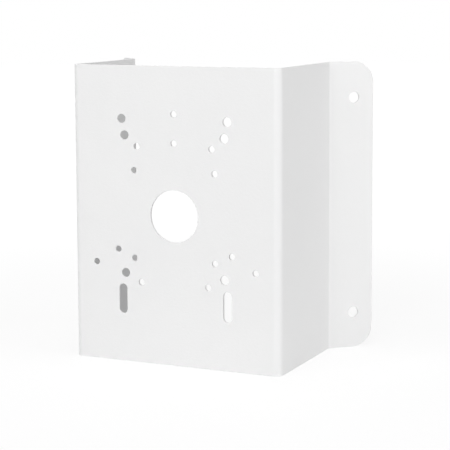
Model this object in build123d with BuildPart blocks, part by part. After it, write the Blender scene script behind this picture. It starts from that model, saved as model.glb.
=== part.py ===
from build123d import *
from math import cos, radians, sin
import os

# Corner mount bracket for a surveillance camera: one steel sheet, cut, drilled and folded.
# Lengths are millimetres and angles are degrees.
# The origin is the centre of the cable hole, on the front of the camera plate.
# +X is to the right seen from the front, +Y goes back towards the building, and +Z is up.

# Folded sheet, measured over the side that shows from the front
sheet_thickness = 2.0
plate_width = 182.2
plate_height = 240.0
wall_depth = 104.8
flange_length = 39.8
flange_angle = 45.0
bend_radius = 4.0
flange_corner_radius = 17.2
rim_rounding = 0.2

# Anchor holes, two in each flange, set back from the fold between wall and flange
# and in from the upper and lower edges of the sheet
anchor_hole_diameter = 9.2
anchor_hole_setback = 22.6
anchor_hole_margin = 29.6

# Cable hole, a little above the middle of the plate
cable_hole_diameter = 41.8
cable_hole_rise = 0.8

# Screw holes on three circles round the cable hole
screw_hole_diameter = 5.2
inner_circle_diameter = 100.5
inner_circle_holes = 4
inner_circle_start = 45.0
middle_circle_diameter = 116.2
outer_circle_diameter = 162.6
wide_circle_holes = 3
wide_circle_start = 90.0

# Screw holes in two pairs, one above the cable hole and a closer one below it
upper_pair_spacing = 66.0
upper_pair_rise = 54.8
lower_pair_spacing = 59.2
lower_pair_drop = 55.1

# Bolt holes at the corners of a rectangle, whose centre is above the cable hole
bolt_hole_diameter = 7.4
bolt_rectangle_width = 87.7
bolt_rectangle_height = 111.6
bolt_rectangle_rise = 7.7

# Two more bolt holes, and the slots that go with them, for a height set on site
slotted_pattern_width = 92.7
slotted_pattern_rise = 76.6
slot_centre_drop = 69.5
slot_length = 24.3
slot_width = 7.3

# Places that follow from the sizes
sheet_middle = -cable_hole_rise
sheet_bottom = sheet_middle - plate_height / 2
anchor_hole_spacing = plate_height - 2 * anchor_hole_margin
fold_x = plate_width / 2
flange_run_x = sin(radians(flange_angle))
flange_run_y = cos(radians(flange_angle))
tip_x = fold_x + flange_length * flange_run_x
tip_y = wall_depth + flange_length * flange_run_y
outer_bend_radius = bend_radius + sheet_thickness
seam_tolerance = 0.001


def is_rim(edge):
    """Tells a cut rim from a seam through the sheet and from a seam along a fold."""
    goes_through = abs(edge.length - sheet_thickness) < seam_tolerance
    follows_fold = abs(edge.length - plate_height) < seam_tolerance
    return not goes_through and not follows_fold


with BuildPart() as corner_bracket:
    # The sheet, folded along the line of its front side from one flange's tip to the other's
    with BuildLine(Plane.XY.offset(sheet_bottom)) as front_side:
        FilletPolyline(
            (-tip_x, tip_y),
            (-fold_x, wall_depth),
            (-fold_x, 0),
            (fold_x, 0),
            (fold_x, wall_depth),
            (tip_x, tip_y),
            radius=(bend_radius, outer_bend_radius, outer_bend_radius, bend_radius),
        )
    make_brake_formed(thickness=sheet_thickness, station_widths=plate_height, side=Side.LEFT)

    # Rounded corners at the tips of the flanges
    flange_tips = corner_bracket.faces().sort_by(Axis.Y)[-2:]
    fillet(flange_tips.edges().group_by(SortBy.LENGTH)[0], flange_corner_radius)

    # The coating rounds the cut rim of the folded sheet a little
    fillet(corner_bracket.edges().filter_by(is_rim), rim_rounding)

    # Openings of the camera plate
    with BuildSketch(Plane.XZ) as plate_openings:
        Circle(cable_hole_diameter / 2)
        with PolarLocations(inner_circle_diameter / 2, inner_circle_holes, start_angle=inner_circle_start):
            Circle(screw_hole_diameter / 2)
        for wide_circle_diameter in (middle_circle_diameter, outer_circle_diameter):
            with PolarLocations(wide_circle_diameter / 2, wide_circle_holes, start_angle=wide_circle_start):
                Circle(screw_hole_diameter / 2)
        for side in (-1, 1):
            with Locations(
                (side * upper_pair_spacing / 2, upper_pair_rise),
                (side * lower_pair_spacing / 2, -lower_pair_drop),
            ):
                Circle(screw_hole_diameter / 2)
            with Locations((side * slotted_pattern_width / 2, slotted_pattern_rise)):
                Circle(bolt_hole_diameter / 2)
            with Locations((side * slotted_pattern_width / 2, -slot_centre_drop)):
                SlotOverall(slot_length, slot_width, rotation=90)
        with Locations((0, bolt_rectangle_rise)):
            with GridLocations(bolt_rectangle_width, bolt_rectangle_height, 2, 2):
                Circle(bolt_hole_diameter / 2)
    extrude(amount=-sheet_thickness, mode=Mode.SUBTRACT)

    # Anchor holes of the flanges
    for side in (-1, 1):
        flange_front = Plane(
            origin=(side * fold_x, wall_depth, sheet_middle),
            x_dir=(side * flange_run_x, flange_run_y, 0),
            z_dir=(side * flange_run_y, -flange_run_x, 0),
        )
        with BuildSketch(flange_front) as anchor_holes:
            with Locations((anchor_hole_setback, 0)):
                with GridLocations(0, anchor_hole_spacing, 1, 2):
                    Circle(anchor_hole_diameter / 2)
        extrude(amount=-sheet_thickness, mode=Mode.SUBTRACT)

corner_bracket.part.label = "corner_bracket"

os.makedirs("parts", exist_ok=True)
export_step(corner_bracket.part, "parts/corner_bracket.step")
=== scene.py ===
"""A powder-coated steel bracket for a camera on a building's corner, in a plain studio.

Lengths are metres. Angles are degrees in the fields of the classes and radians
elsewhere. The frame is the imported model's own: the origin is the centre of the cable
hole on the front of the camera plate, +X is to the right seen from the front, +Y goes
back towards the building and +Z is up.
"""

import logging
from collections.abc import Callable, Sequence
from dataclasses import dataclass
from enum import Enum
from math import cos, hypot, pi, radians, sin, tan

import bmesh
import bpy
from mathutils import Matrix, Vector


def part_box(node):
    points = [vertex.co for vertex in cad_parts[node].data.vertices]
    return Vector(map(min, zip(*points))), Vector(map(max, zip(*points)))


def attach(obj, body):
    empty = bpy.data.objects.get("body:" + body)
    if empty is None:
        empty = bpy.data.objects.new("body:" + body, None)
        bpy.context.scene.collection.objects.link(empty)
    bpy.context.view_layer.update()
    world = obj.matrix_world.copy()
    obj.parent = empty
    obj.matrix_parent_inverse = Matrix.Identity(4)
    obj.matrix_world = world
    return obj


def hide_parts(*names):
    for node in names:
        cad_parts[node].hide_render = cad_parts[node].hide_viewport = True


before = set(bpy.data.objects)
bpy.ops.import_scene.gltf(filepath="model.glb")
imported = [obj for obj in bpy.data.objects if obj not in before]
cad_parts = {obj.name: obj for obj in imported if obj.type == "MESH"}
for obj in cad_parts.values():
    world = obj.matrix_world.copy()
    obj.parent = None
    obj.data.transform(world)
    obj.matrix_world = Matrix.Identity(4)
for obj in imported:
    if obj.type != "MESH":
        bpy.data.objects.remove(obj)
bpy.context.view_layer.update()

log = logging.getLogger("corner_bracket_scene")

CAD_NODE = "corner_bracket"
BODY = "root"

# Points nearer to each other than this are at the same place
SAME_PLACE = 1e-6

# Turns in degrees
RIGHT_ANGLE = 90.0
FULL_TURN = 360.0

# The axis that the sheet is folded about
UPRIGHT = (0.0, 0.0, 1.0)

# How far an edge is drawn out when the next operator widens it
IN_PLACE = (0.0, 0.0, 0.0)

Colour = tuple[float, float, float]
EdgeOrFace = bmesh.types.BMEdge | bmesh.types.BMFace
MeshElement = bmesh.types.BMVert | EdgeOrFace


class Side(Enum):
    """A half of the bracket, seen from the front, with the sign of its X."""

    LEFT = -1
    RIGHT = 1


class Level(Enum):
    """The upper or the lower one of two, with the sign of its Z."""

    LOWER = -1
    UPPER = 1


class Select(Enum):
    """What an edit-mode selection picks, as Blender names it."""

    VERTS = "VERT"
    EDGES = "EDGE"
    FACES = "FACE"


def deselect_objects() -> None:
    """Leaves no object selected, so that the next operator acts on its own piece."""
    bpy.ops.object.select_all(action="DESELECT")


def middle(element: MeshElement) -> Vector:
    """Finds the middle of a part of a mesh.

    Args:
        element: A vertex, an edge or a face.

    Returns:
        Its middle point.
    """
    if isinstance(element, bmesh.types.BMVert):
        return element.co.copy()
    corners = [vertex.co for vertex in element.verts]
    return sum(corners, Vector()) / len(corners)


def pick(
    piece: bpy.types.Object, kind: Select, wanted: Callable[[Vector, MeshElement], bool]
) -> None:
    """Selects by place in edit mode, and deselects the rest.

    Args:
        piece: The object in edit mode.
        kind: Whether vertices, edges or faces are picked.
        wanted: Says yes or no from an element's middle point and the element itself.
    """
    bpy.ops.mesh.select_all(action="DESELECT")
    bpy.ops.mesh.select_mode(type=kind.value)
    mesh = bmesh.from_edit_mesh(piece.data)
    elements = {
        Select.VERTS: mesh.verts,
        Select.EDGES: mesh.edges,
        Select.FACES: mesh.faces,
    }
    for element in elements[kind]:
        if wanted(middle(element), element):
            element.select_set(True)
    mesh.select_flush_mode()
    bmesh.update_edit_mesh(piece.data)


def extrude_edges(move: Sequence[float]) -> None:
    """Draws new faces out of the selected edges, by a move."""
    bpy.ops.mesh.extrude_edges_move(TRANSFORM_OT_translate={"value": move})


def apply_modifier(piece: bpy.types.Object, kind: str, **settings: object) -> None:
    """Adds a modifier to a piece, sets it and applies it to the mesh.

    Args:
        piece: The active object, in object mode.
        kind: The modifier's type as Blender names it.
        **settings: The modifier's values by name.
    """
    modifier = piece.modifiers.new(kind.lower(), kind)
    for name, value in settings.items():
        setattr(modifier, name, value)
    bpy.ops.object.modifier_apply(modifier=modifier.name)


def opaque(colour: Colour) -> tuple[float, float, float, float]:
    """Gives a colour the full alpha that its socket takes with it."""
    return (*colour, 1.0)


class Wiring:
    """A material's or a world's nodes, added and joined one after the other."""

    # A noise pattern seldom leaves these values
    NOISE_DIPS = 0.3
    NOISE_PEAKS = 0.7

    def __init__(self, tree: bpy.types.NodeTree) -> None:
        """Empties the node tree that the nodes go into."""
        self.tree = tree
        self.tree.nodes.clear()

    def add(self, kind: str, label: str, **settings: object) -> bpy.types.Node:
        """Adds a node, with its plain properties set by name.

        Args:
            kind: The node's type as Blender names it.
            label: What the node is for.
            **settings: Properties, not sockets.

        Returns:
            The new node.
        """
        node = self.tree.nodes.new(kind)
        node.label = label
        for name, value in settings.items():
            setattr(node, name, value)
        return node

    @staticmethod
    def set(node: bpy.types.Node, **values: object) -> None:
        """Sets a node's input sockets by name, with spaces written as underscores."""
        for name, value in values.items():
            node.inputs[name.replace("_", " ")].default_value = value

    def join(self, source: bpy.types.NodeSocket, target: bpy.types.NodeSocket) -> None:
        """Joins an output socket to an input socket."""
        self.tree.links.new(source, target)

    def noise(
        self, label: str, place: bpy.types.NodeSocket, scale: float, detail: float
    ) -> bpy.types.NodeSocket:
        """Adds a noise pattern.

        Args:
            label: What the pattern stands for.
            place: The coordinates that it reads.
            scale: Grains in a metre.
            detail: How many finer layers it has.

        Returns:
            The pattern's value, from 0 to 1.
        """
        node = self.add("ShaderNodeTexNoise", label)
        self.set(node, Scale=scale, Detail=detail)
        self.join(place, node.inputs["Vector"])
        return node.outputs["Fac"]

    def between(
        self,
        label: str,
        pattern: bpy.types.NodeSocket,
        low: float = 0.0,
        high: float = 1.0,
    ) -> bpy.types.NodeSocket:
        """Spreads a noise pattern between two values.

        Args:
            label: What the value is for.
            pattern: The noise pattern.
            low: The value at the pattern's dips.
            high: The value at its peaks.

        Returns:
            The spread value.
        """
        node = self.add("ShaderNodeMapRange", label)
        self.set(node, From_Min=self.NOISE_DIPS, From_Max=self.NOISE_PEAKS)
        self.set(node, To_Min=low, To_Max=high)
        self.join(pattern, node.inputs["Value"])
        return node.outputs["Result"]

    def combine(
        self, label: str, operation: str, *values: bpy.types.NodeSocket
    ) -> bpy.types.NodeSocket:
        """Makes one value of two.

        Args:
            label: What the new value is for.
            operation: What is done with the two, as Blender names it.
            *values: The two values.

        Returns:
            The new value.
        """
        node = self.add("ShaderNodeMath", label, operation=operation)
        for value, socket in zip(values, node.inputs):
            self.join(value, socket)
        return node.outputs["Value"]

    def end(self, kind: str, shader: bpy.types.NodeSocket) -> None:
        """Joins the finished shader to an output node of a kind."""
        self.join(shader, self.add(kind, "Surface").inputs["Surface"])


def new_material(name: str) -> tuple[bpy.types.Material, Wiring]:
    """Makes a material without nodes.

    Args:
        name: What it is called.

    Returns:
        The material, and the wiring that adds its nodes.
    """
    material = bpy.data.materials.new(name)
    material.use_nodes = True
    return material, Wiring(material.node_tree)


@dataclass(frozen=True)
class PowderCoat:
    """White powder coat: matt, with a fine grain over a shallow orange peel."""

    name: str = "white_powder_coat"
    pale: Colour = (0.870, 0.870, 0.870)
    deep: Colour = (0.859, 0.859, 0.860)
    smoothest: float = 0.44
    roughest: float = 0.54
    drift_scale: float = 14.0
    drift_detail: float = 2.0
    peel_scale: float = 420.0
    peel_detail: float = 1.0
    grain_scale: float = 1400.0
    grain_detail: float = 2.0
    peel_share: float = 0.5
    relief_height: float = 0.00018

    def material(self) -> bpy.types.Material:
        """Makes the finish from patterns on the piece's own coordinates.

        Returns:
            The material.
        """
        material, wiring = new_material(self.name)
        place = wiring.add("ShaderNodeTexCoord", "Place on the sheet").outputs["Object"]
        drift = wiring.noise("Coat drift", place, self.drift_scale, self.drift_detail)
        peel = wiring.noise("Orange peel", place, self.peel_scale, self.peel_detail)
        grain = wiring.noise("Powder grain", place, self.grain_scale, self.grain_detail)

        shade = wiring.add("ShaderNodeMix", "Pale to deep white", data_type="RGBA")
        wiring.set(shade, A=opaque(self.pale), B=opaque(self.deep))
        deep_share = wiring.between("Share of deep white", drift)
        wiring.join(deep_share, shade.inputs["Factor"])

        relief = wiring.add("ShaderNodeMix", "Peel and grain", data_type="FLOAT")
        wiring.set(relief, Factor=self.peel_share)
        wiring.join(grain, relief.inputs["A"])
        wiring.join(peel, relief.inputs["B"])
        bump = wiring.add("ShaderNodeBump", "Coat relief")
        wiring.set(bump, Distance=self.relief_height)
        wiring.join(relief.outputs["Result"], bump.inputs["Height"])

        rough = wiring.between("Coat roughness", grain, self.smoothest, self.roughest)
        coat = wiring.add("ShaderNodeBsdfPrincipled", "Powder coat")
        wiring.join(shade.outputs["Result"], coat.inputs["Base Color"])
        wiring.join(rough, coat.inputs["Roughness"])
        wiring.join(bump.outputs["Normal"], coat.inputs["Normal"])
        wiring.end("ShaderNodeOutputMaterial", coat.outputs["BSDF"])
        return material


@dataclass(frozen=True)
class StudioPaper:
    """White paper that keeps a faint shadow near the object and none further out."""

    name: str = "studio_paper"
    colour: Colour = (0.8, 0.8, 0.8)
    gloss: float = 0.0
    smoothest: float = 0.85
    roughest: float = 0.9
    fibre_scale: float = 90.0
    fibre_detail: float = 3.0
    glow: float = 1.056
    near_edge: float = 0.25
    near_share: float = 0.78
    far_edge: float = 0.9
    far_share: float = 0.947

    def material(self) -> bpy.types.Material:
        """Makes the paper's finish, which is part glow where the camera sees it.

        Returns:
            The material.
        """
        material, wiring = new_material(self.name)
        place = wiring.add("ShaderNodeTexCoord", "Place on the floor").outputs["Object"]
        fibre = wiring.noise("Paper fibre", place, self.fibre_scale, self.fibre_detail)
        rough = wiring.between("Paper roughness", fibre, self.smoothest, self.roughest)
        paper = wiring.add("ShaderNodeBsdfPrincipled", "Paper")
        wiring.set(paper, Base_Color=opaque(self.colour))
        wiring.set(paper, Specular_IOR_Level=self.gloss)
        wiring.join(rough, paper.inputs["Roughness"])
        white = wiring.add("ShaderNodeEmission", "White to the eye")
        wiring.set(white, Strength=self.glow)

        both = wiring.add("ShaderNodeMixShader", "Paper and white")
        share, paper_side, white_side = both.inputs
        wiring.join(self.white_share(wiring, place), share)
        wiring.join(paper.outputs["BSDF"], paper_side)
        wiring.join(white.outputs["Emission"], white_side)
        wiring.end("ShaderNodeOutputMaterial", both.outputs["Shader"])
        return material

    def white_share(
        self, wiring: Wiring, place: bpy.types.NodeSocket
    ) -> bpy.types.NodeSocket:
        """Works out how much of the paper is plain white.

        Args:
            wiring: The paper's nodes.
            place: The coordinates on the floor.

        Returns:
            The share, which grows with the way out, and is 0 for rays that light.
        """
        way = wiring.add("ShaderNodeVectorMath", "Way out", operation="LENGTH")
        wiring.join(place, way.inputs["Vector"])
        fade = wiring.add(
            "ShaderNodeMapRange", "Fade to white", interpolation_type="SMOOTHSTEP"
        )
        wiring.set(fade, From_Min=self.near_edge, From_Max=self.far_edge)
        wiring.set(fade, To_Min=self.near_share, To_Max=self.far_share)
        wiring.join(way.outputs["Value"], fade.inputs["Value"])
        seen = seen_straight(wiring)
        return wiring.combine(
            "Only where it is seen", "MULTIPLY", fade.outputs["Result"], seen
        )


def seen_straight(wiring: Wiring) -> bpy.types.NodeSocket:
    """Tells the rays that show a background from those that light the object.

    Args:
        wiring: The nodes that need to know.

    Returns:
        A value of 1 for what the camera sees, also in a reflection or through glass.
    """
    path = wiring.add("ShaderNodeLightPath", "What the ray is for")
    seen = path.outputs["Is Camera Ray"]
    for name in ("Is Glossy Ray", "Is Transmission Ray"):
        seen = wiring.combine("Or the next kind", "MAXIMUM", seen, path.outputs[name])
    return seen


@dataclass(frozen=True)
class Panel:
    """A flat of the sheet: where its middle line stands, and its turn about UPRIGHT."""

    origin: Vector
    turn: float

    def place(self, across: float, up: float) -> Vector:
        """Finds a point on the panel's front.

        Args:
            across: How far the point is from the panel's middle line.
            up: How far it is above the panel's origin.

        Returns:
            The point.
        """
        run_x, run_y = cos(self.turn), sin(self.turn)
        return self.origin + Vector((across * run_x, across * run_y, up))

    def holds(self, point: Vector) -> bool:
        """Says whether a point lies in the plane of the panel's front."""
        normal = Vector((sin(self.turn), -cos(self.turn), 0.0))
        return abs((point - self.origin).dot(normal)) < SAME_PLACE

    def holds_all(self, element: EdgeOrFace) -> bool:
        """Says whether a whole edge or face lies in that plane."""
        return all(self.holds(vertex.co) for vertex in element.verts)


@dataclass(frozen=True)
class Opening:
    """A round hole, or an upright slot where its length is more than its width."""

    across: float
    up: float
    width: float
    length: float = 0.0
    segments: int = 40
    collar: float = 0.0009

    @property
    def stretch(self) -> float:
        """How far each end of a slot stands from the middle of the opening."""
        return max(self.length - self.width, 0.0) / 2

    def has_on_rim(self, panel: Panel, point: Vector) -> bool:
        """Tells the opening's own rim from its collar and from all further out.

        Args:
            panel: The flat that the opening is in.
            point: A point in that flat.

        Returns:
            Whether the point is on the rim.
        """
        offset = point - panel.place(self.across, self.up)
        beyond_arc = max(abs(offset.z) - self.stretch, 0.0)
        return hypot(offset.x, offset.y, beyond_arc) < (self.width + self.collar) / 2

    def cut(self, piece: bpy.types.Object, panel: Panel) -> None:
        """Adds the opening's exact rim and draws a narrow collar of faces out of it.

        Args:
            piece: The sheet, in edit mode.
            panel: The flat that the opening is in.
        """
        centre = panel.place(self.across, self.up)
        # Half a step keeps the rim's points off the line that halves a slot
        half_step = pi / self.segments
        bpy.ops.mesh.select_all(action="DESELECT")
        bpy.ops.mesh.primitive_circle_add(
            vertices=self.segments,
            radius=self.width / 2,
            location=centre,
            rotation=(pi / 2, half_step, panel.turn),
        )
        if self.stretch:
            for level in Level:
                self.stretch_end(piece, centre, level)
            pick(
                piece,
                Select.VERTS,
                lambda point, _: panel.holds(point) and self.has_on_rim(panel, point),
            )
        bpy.ops.mesh.select_mode(type=Select.EDGES.value)
        extrude_edges(IN_PLACE)
        wider = 1 + 2 * self.collar / self.width
        taller = 1 + 2 * self.collar / max(self.width, self.length)
        bpy.ops.transform.resize(value=(wider, wider, taller), center_override=centre)

    def stretch_end(
        self, piece: bpy.types.Object, centre: Vector, level: Level
    ) -> None:
        """Moves one half of the round rim out to an end of the slot.

        Args:
            piece: The sheet, in edit mode.
            centre: The middle of the slot.
            level: Which half is moved.
        """
        pick(
            piece,
            Select.VERTS,
            lambda point, vertex: not vertex.link_faces
            and (point - centre).length < self.width
            and level.value * (point.z - centre.z) > 0.0,
        )
        bpy.ops.transform.translate(value=(0.0, 0.0, level.value * self.stretch))


@dataclass(frozen=True)
class HoleCircle:
    """Screw holes at equal steps round the cable hole."""

    width: float
    count: int
    start: float

    def openings(self, hole_width: float) -> list[Opening]:
        """Lists the holes of the circle.

        Args:
            hole_width: The width of each hole.

        Returns:
            The holes, measured from the cable hole.
        """
        reach = self.width / 2
        step = FULL_TURN / self.count
        turns = [radians(self.start + number * step) for number in range(self.count)]
        return [
            Opening(cos(turn) * reach, sin(turn) * reach, hole_width) for turn in turns
        ]


@dataclass(frozen=True)
class PlateOpenings:
    """All openings of the camera plate, measured from the cable hole."""

    cable_hole_width: float = 0.0418
    cable_hole_segments: int = 128
    screw_hole_width: float = 0.0052
    screw_circles: tuple[HoleCircle, ...] = (
        HoleCircle(width=0.1005, count=4, start=45.0),
        HoleCircle(width=0.1162, count=3, start=90.0),
        HoleCircle(width=0.1626, count=3, start=90.0),
    )
    upper_pair_spacing: float = 0.066
    upper_pair_rise: float = 0.0548
    lower_pair_spacing: float = 0.0592
    lower_pair_drop: float = 0.0551
    bolt_hole_width: float = 0.0074
    bolt_rectangle_width: float = 0.0877
    bolt_rectangle_height: float = 0.1116
    bolt_rectangle_rise: float = 0.0077
    slotted_pattern_width: float = 0.0927
    slotted_pattern_rise: float = 0.0766
    slot_centre_drop: float = 0.0695
    slot_length: float = 0.0243
    slot_width: float = 0.0073

    def openings(self) -> list[Opening]:
        """Lists every opening of the plate.

        Returns:
            The cable hole, the circles of screw holes, and each side's own openings.
        """
        cable_hole = Opening(
            0.0, 0.0, self.cable_hole_width, segments=self.cable_hole_segments
        )
        openings = [cable_hole]
        for circle in self.screw_circles:
            openings += circle.openings(self.screw_hole_width)
        for side in Side:
            openings += self.screw_pair_openings(side) + self.bolt_openings(side)
        return openings

    def screw_pair_openings(self, side: Side) -> list[Opening]:
        """Lists one side's screw holes of the upper and the lower pair.

        Args:
            side: Which half of the plate.

        Returns:
            The two holes.
        """
        upper = side.value * self.upper_pair_spacing / 2
        lower = side.value * self.lower_pair_spacing / 2
        return [
            Opening(upper, self.upper_pair_rise, self.screw_hole_width),
            Opening(lower, -self.lower_pair_drop, self.screw_hole_width),
        ]

    def bolt_openings(self, side: Side) -> list[Opening]:
        """Lists one side's bolt holes and its slot.

        Args:
            side: Which half of the plate.

        Returns:
            The rectangle's two holes, and the slotted pattern's hole and slot.
        """
        corner = side.value * self.bolt_rectangle_width / 2
        reach = self.bolt_rectangle_height / 2
        slotted = side.value * self.slotted_pattern_width / 2
        return [
            Opening(corner, self.bolt_rectangle_rise - reach, self.bolt_hole_width),
            Opening(corner, self.bolt_rectangle_rise + reach, self.bolt_hole_width),
            Opening(slotted, self.slotted_pattern_rise, self.bolt_hole_width),
            Opening(slotted, -self.slot_centre_drop, self.slot_width, self.slot_length),
        ]


@dataclass(frozen=True)
class AnchorOpenings:
    """The anchor holes of a flange, measured from its fold line and its middle."""

    hole_width: float = 0.0092
    hole_segments: int = 56
    setback: float = 0.0226
    spacing: float = 0.1808

    def openings(self, side: Side) -> list[Opening]:
        """Lists the two anchor holes of one flange.

        Args:
            side: Which flange.

        Returns:
            The lower and the upper hole.
        """
        across = side.value * self.setback
        rises = [level.value * self.spacing / 2 for level in Level]
        return [
            Opening(across, rise, self.hole_width, segments=self.hole_segments)
            for rise in rises
        ]


@dataclass
class CornerBracket:
    """The folded sheet: camera plate, side walls, flanges and all their openings."""

    # Solidify's offset that puts the whole thickness behind the front
    ALL_BEHIND = -1.0

    name: str = "coated_corner_bracket"
    sheet_thickness: float = 0.002
    plate_width: float = 0.1822
    plate_height: float = 0.240
    plate_middle: float = -0.0008
    wall_depth: float = 0.1048
    flange_length: float = 0.0398
    flange_angle: float = 45.0
    bend_radius: float = 0.004
    wall_bend_segments: int = 12
    flange_bend_segments: int = 6
    flange_corner_radius: float = 0.0172
    corner_segments: int = 16
    rim_rounding: float = 0.0002
    rim_segments: int = 3
    rim_angle: float = 50.0
    plate_openings: PlateOpenings = PlateOpenings()
    anchor_openings: AnchorOpenings = AnchorOpenings()
    finish: PowderCoat = PowderCoat()

    @property
    def outer_bend_radius(self) -> float:
        """The radius of a fold's outer side."""
        return self.bend_radius + self.sheet_thickness

    @property
    def flange_bend_reach(self) -> float:
        """How far the flange's bend reaches from the fold line, each way."""
        return self.bend_radius * tan(radians(self.flange_angle) / 2)

    def flange_panel(self, side: Side) -> Panel:
        """Finds the flat of one flange.

        Args:
            side: Which flange.

        Returns:
            The flat, whose across distances are counted from the fold line.
        """
        fold = side.value * self.plate_width / 2
        origin = Vector((fold, self.wall_depth, self.plate_middle))
        return Panel(origin, side.value * radians(RIGHT_ANGLE - self.flange_angle))

    def build(self) -> bpy.types.Object:
        """Models the bracket from one plane, folded, cut, thickened and softened.

        Returns:
            The finished piece, at the origin and unturned.
        """
        piece = self.lay_plate()
        for side in Side:
            self.fold_side(piece, side)
            self.round_flange_tip(piece, side)
        self.cut_panel(piece, Panel(Vector(), 0.0), self.plate_openings.openings())
        for side in Side:
            anchor_holes = self.anchor_openings.openings(side)
            self.cut_panel(piece, self.flange_panel(side), anchor_holes)
        self.face_outwards(piece)
        bpy.ops.object.mode_set(mode="OBJECT")
        self.thicken(piece)
        return piece

    def dress(self, piece: bpy.types.Object) -> None:
        """Coats the bracket, hangs it on its body and hides the CAD node that it
        replaces.

        Args:
            piece: The finished piece.
        """
        piece.data.materials.append(self.finish.material())
        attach(piece, BODY)
        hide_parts(CAD_NODE)

    def lay_plate(self) -> bpy.types.Object:
        """Adds the flat of the camera plate as a plane and leaves it in edit mode.

        Returns:
            The new object, at the origin.
        """
        deselect_objects()
        centre = (0.0, 0.0, self.plate_middle)
        bpy.ops.mesh.primitive_plane_add(
            size=self.plate_height, location=centre, rotation=(pi / 2, 0.0, 0.0)
        )
        piece = bpy.context.active_object
        piece.name = self.name
        piece.data.name = self.name
        bpy.ops.object.transform_apply(location=True, rotation=True, scale=True)
        bpy.ops.object.mode_set(mode="EDIT")
        bpy.ops.mesh.select_all(action="SELECT")
        narrower = (self.plate_width - 2 * self.outer_bend_radius) / self.plate_height
        bpy.ops.transform.resize(value=(narrower, 1.0, 1.0), center_override=centre)
        return piece

    def fold_side(self, piece: bpy.types.Object, side: Side) -> None:
        """Draws a side wall and its flange out of the plate's edge, round two bends.

        Args:
            piece: The plate, in edit mode.
            side: Which half is drawn.
        """
        flat_edge = side.value * (self.plate_width / 2 - self.outer_bend_radius)
        pick(
            piece, Select.EDGES, lambda point, _: abs(point.x - flat_edge) < SAME_PLACE
        )
        bpy.ops.mesh.spin(
            steps=self.wall_bend_segments,
            angle=-side.value * pi / 2,
            center=(flat_edge, self.outer_bend_radius, 0.0),
            axis=UPRIGHT,
        )
        wall_end = self.wall_depth - self.flange_bend_reach
        extrude_edges((0.0, wall_end - self.outer_bend_radius, 0.0))
        turn = radians(self.flange_angle)
        bend_centre = side.value * (self.plate_width / 2 + self.bend_radius)
        bpy.ops.mesh.spin(
            steps=self.flange_bend_segments,
            angle=side.value * turn,
            center=(bend_centre, wall_end, 0.0),
            axis=UPRIGHT,
        )
        run = self.flange_length - self.flange_bend_reach
        extrude_edges((side.value * run * sin(turn), run * cos(turn), 0.0))

    def round_flange_tip(self, piece: bpy.types.Object, side: Side) -> None:
        """Rounds the two outer corners of one flange.

        Args:
            piece: The folded sheet, in edit mode.
            side: Which flange is rounded.
        """
        tip = self.flange_panel(side).place(side.value * self.flange_length, 0.0)
        pick(piece, Select.VERTS, lambda point, _: (point - tip).xy.length < SAME_PLACE)
        bpy.ops.mesh.bevel(
            offset=self.flange_corner_radius,
            segments=self.corner_segments,
            affect="VERTICES",
        )

    def cut_panel(
        self, piece: bpy.types.Object, panel: Panel, openings: list[Opening]
    ) -> None:
        """Replaces a flat of the sheet by one with openings, each in its own collar.

        Args:
            piece: The folded sheet, in edit mode.
            panel: The flat that is cut.
            openings: The openings, measured across and up from the panel's origin.
        """
        pick(piece, Select.FACES, lambda _, face: panel.holds_all(face))
        bpy.ops.mesh.delete(type="ONLY_FACE")
        for opening in openings:
            opening.cut(piece, panel)
        pick(
            piece, Select.EDGES, lambda _, edge: self.is_outline(edge, panel, openings)
        )
        bpy.ops.mesh.fill(use_beauty=True)

    @staticmethod
    def is_outline(
        edge: bmesh.types.BMEdge, panel: Panel, openings: list[Opening]
    ) -> bool:
        """Tells the open edges that a flat is filled between from all others.

        Args:
            edge: Any edge of the sheet.
            panel: The flat that is filled.
            openings: The flat's openings, whose rims stay open.

        Returns:
            Whether the edge is on the flat's own outline or on a collar's.
        """
        if len(edge.link_faces) > 1 or not panel.holds_all(edge):
            return False
        start = edge.verts[0].co
        return not any(opening.has_on_rim(panel, start) for opening in openings)

    @staticmethod
    def face_outwards(piece: bpy.types.Object) -> None:
        """Merges doubles and turns every face towards the side that shows in front.

        Args:
            piece: The cut sheet, in edit mode.
        """
        bpy.ops.mesh.select_mode(type=Select.VERTS.value)
        bpy.ops.mesh.select_all(action="SELECT")
        bpy.ops.mesh.remove_doubles(threshold=SAME_PLACE)
        bpy.ops.mesh.normals_make_consistent(inside=False)
        faces = bmesh.from_edit_mesh(piece.data).faces
        plate_faces = [face for face in faces if abs(middle(face).y) < SAME_PLACE]
        if sum(face.normal.y for face in plate_faces) > 0.0:
            bpy.ops.mesh.flip_normals()

    def thicken(self, piece: bpy.types.Object) -> None:
        """Gives the sheet its thickness, softens its cut rims and sets its shading.

        Args:
            piece: The cut sheet, in object mode.
        """
        apply_modifier(
            piece,
            "SOLIDIFY",
            thickness=self.sheet_thickness,
            offset=self.ALL_BEHIND,
            use_even_offset=True,
            use_quality_normals=True,
        )
        apply_modifier(
            piece,
            "BEVEL",
            width=self.rim_rounding,
            segments=self.rim_segments,
            limit_method="ANGLE",
            angle_limit=radians(self.rim_angle),
            loop_slide=False,
            use_clamp_overlap=False,
        )
        bpy.ops.object.shade_smooth()
        apply_modifier(piece, "WEIGHTED_NORMAL", mode="FACE_AREA")


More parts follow.
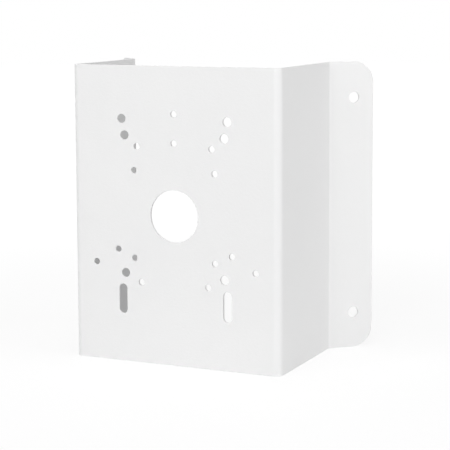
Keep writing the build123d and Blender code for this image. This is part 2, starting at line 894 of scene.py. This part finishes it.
@dataclass(frozen=True)
class SoftLamp:
    """A large round soft box, placed round the object and turned to face it."""

    name: str
    azimuth: float
    elevation: float
    power: float
    distance: float = 3.4
    width: float = 2.2

    def build(self, target: Vector) -> None:
        """Adds the lamp.

        Args:
            target: The point that the lamp faces.
        """
        data = bpy.data.lights.new(self.name, "AREA")
        data.shape = "DISK"
        data.size = self.width
        data.energy = self.power
        lamp = bpy.data.objects.new(self.name, data)
        bpy.context.scene.collection.objects.link(lamp)
        turn, lift = radians(self.azimuth), radians(self.elevation)
        away = Vector((sin(turn) * cos(lift), -cos(turn) * cos(lift), sin(lift)))
        lamp.location = target + away * self.distance
        lamp.rotation_euler = away.to_track_quat("Z", "Y").to_euler()


@dataclass
class Studio:
    """A white floor, soft lamps and an even white surround."""

    floor_name: str = "studio_floor"
    floor_radius: float = 5.0
    floor_segments: int = 96
    surround_name: str = "studio_surround"
    surround_colour: Colour = (1.0, 1.0, 1.0)
    surround_light: float = 0.15
    surround_seen: float = 1.0
    paper: StudioPaper = StudioPaper()
    lamps: tuple[SoftLamp, ...] = (
        SoftLamp("key_lamp", azimuth=10.0, elevation=20.0, power=43.4),
        SoftLamp("fill_lamp", azimuth=-30.0, elevation=25.0, power=20.7),
        SoftLamp("side_lamp", azimuth=90.0, elevation=25.0, power=17.5),
        SoftLamp("low_side_lamp", azimuth=90.0, elevation=12.0, power=19.1, width=1.4),
        SoftLamp("top_lamp", azimuth=0.0, elevation=85.0, power=55.7),
    )

    def build(self, target: Vector, floor_level: float) -> bpy.types.Object:
        """Adds the floor, the lamps and the surround.

        Args:
            target: The point that the lamps face.
            floor_level: The height of the floor.

        Returns:
            The round floor, with its place in its mesh.
        """
        deselect_objects()
        bpy.ops.mesh.primitive_circle_add(
            vertices=self.floor_segments,
            radius=self.floor_radius,
            fill_type="NGON",
            location=(0.0, 0.0, floor_level),
        )
        floor = bpy.context.active_object
        floor.name = self.floor_name
        bpy.ops.object.transform_apply(location=True, rotation=True, scale=True)
        for lamp in self.lamps:
            lamp.build(target)
        self.light_surround()
        return floor

    def dress(self, floor: bpy.types.Object) -> None:
        """Lays paper on the floor, which isn't part of the object."""
        floor.data.materials.append(self.paper.material())

    def light_surround(self) -> None:
        """Gives the world an even light, and white where it is seen."""
        world = bpy.data.worlds.new(self.surround_name)
        bpy.context.scene.world = world
        world.use_nodes = True
        wiring = Wiring(world.node_tree)
        strength = wiring.add("ShaderNodeMix", "Light or white", data_type="FLOAT")
        wiring.set(strength, A=self.surround_light, B=self.surround_seen)
        wiring.join(seen_straight(wiring), strength.inputs["Factor"])
        surround = wiring.add("ShaderNodeBackground", "Surround")
        wiring.set(surround, Color=opaque(self.surround_colour))
        wiring.join(strength.outputs["Result"], surround.inputs["Strength"])
        wiring.end("ShaderNodeOutputWorld", surround.outputs["Background"])


@dataclass(frozen=True)
class PhotoCamera:
    """The camera at the photograph's place.

    Where its turns are zero, it is level and faces the plate squarely.
    """

    # Rows and columns of a matrix that can turn and move
    MATRIX_SIZE = 4

    name: str = "photo_camera"
    location: tuple[float, float, float] = (0.539062, -1.073221, 0.178750)
    yaw: float = 24.711
    pitch: float = -6.683
    roll: float = -0.241
    lens: float = 122.483
    sensor: float = 36.0
    shift: tuple[float, float] = (-0.0013, -0.1251)
    sight: float = 100.0

    def build(self) -> None:
        """Adds the camera and makes it the scene's own."""
        data = bpy.data.cameras.new(self.name)
        data.sensor_width = self.sensor
        data.lens = self.lens
        data.shift_x, data.shift_y = self.shift
        data.clip_end = self.sight
        camera = bpy.data.objects.new(self.name, data)
        bpy.context.scene.collection.objects.link(camera)
        # The right angle is there because an unturned camera looks straight down
        camera.matrix_world = (
            Matrix.Translation(self.location)
            @ self.turned(self.yaw, "Z")
            @ self.turned(RIGHT_ANGLE + self.pitch, "X")
            @ self.turned(self.roll, "Z")
        )
        bpy.context.scene.camera = camera

    def turned(self, angle: float, axis: str) -> Matrix:
        """Makes a turn by an angle in degrees about an axis."""
        return Matrix.Rotation(radians(angle), self.MATRIX_SIZE, axis)


def main() -> None:
    """Builds the bracket, its studio and the camera, and reports each piece."""
    logging.basicConfig(level=logging.INFO, format="%(name)s: %(message)s")
    log.info("the frame has %d CAD node(s)", len(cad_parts))
    bpy.context.scene.view_settings.view_transform = "Standard"

    bracket = CornerBracket()
    sheet = bracket.build()
    bracket.dress(sheet)
    log.info("%s has %d faces", sheet.name, len(sheet.data.polygons))

    low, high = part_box(CAD_NODE)
    studio = Studio()
    floor = studio.build((low + high) / 2, low.z)
    studio.dress(floor)
    log.info("%s lies at a height of %.4f m", floor.name, low.z)

    PhotoCamera().build()


if __name__ == "__main__":
    main()
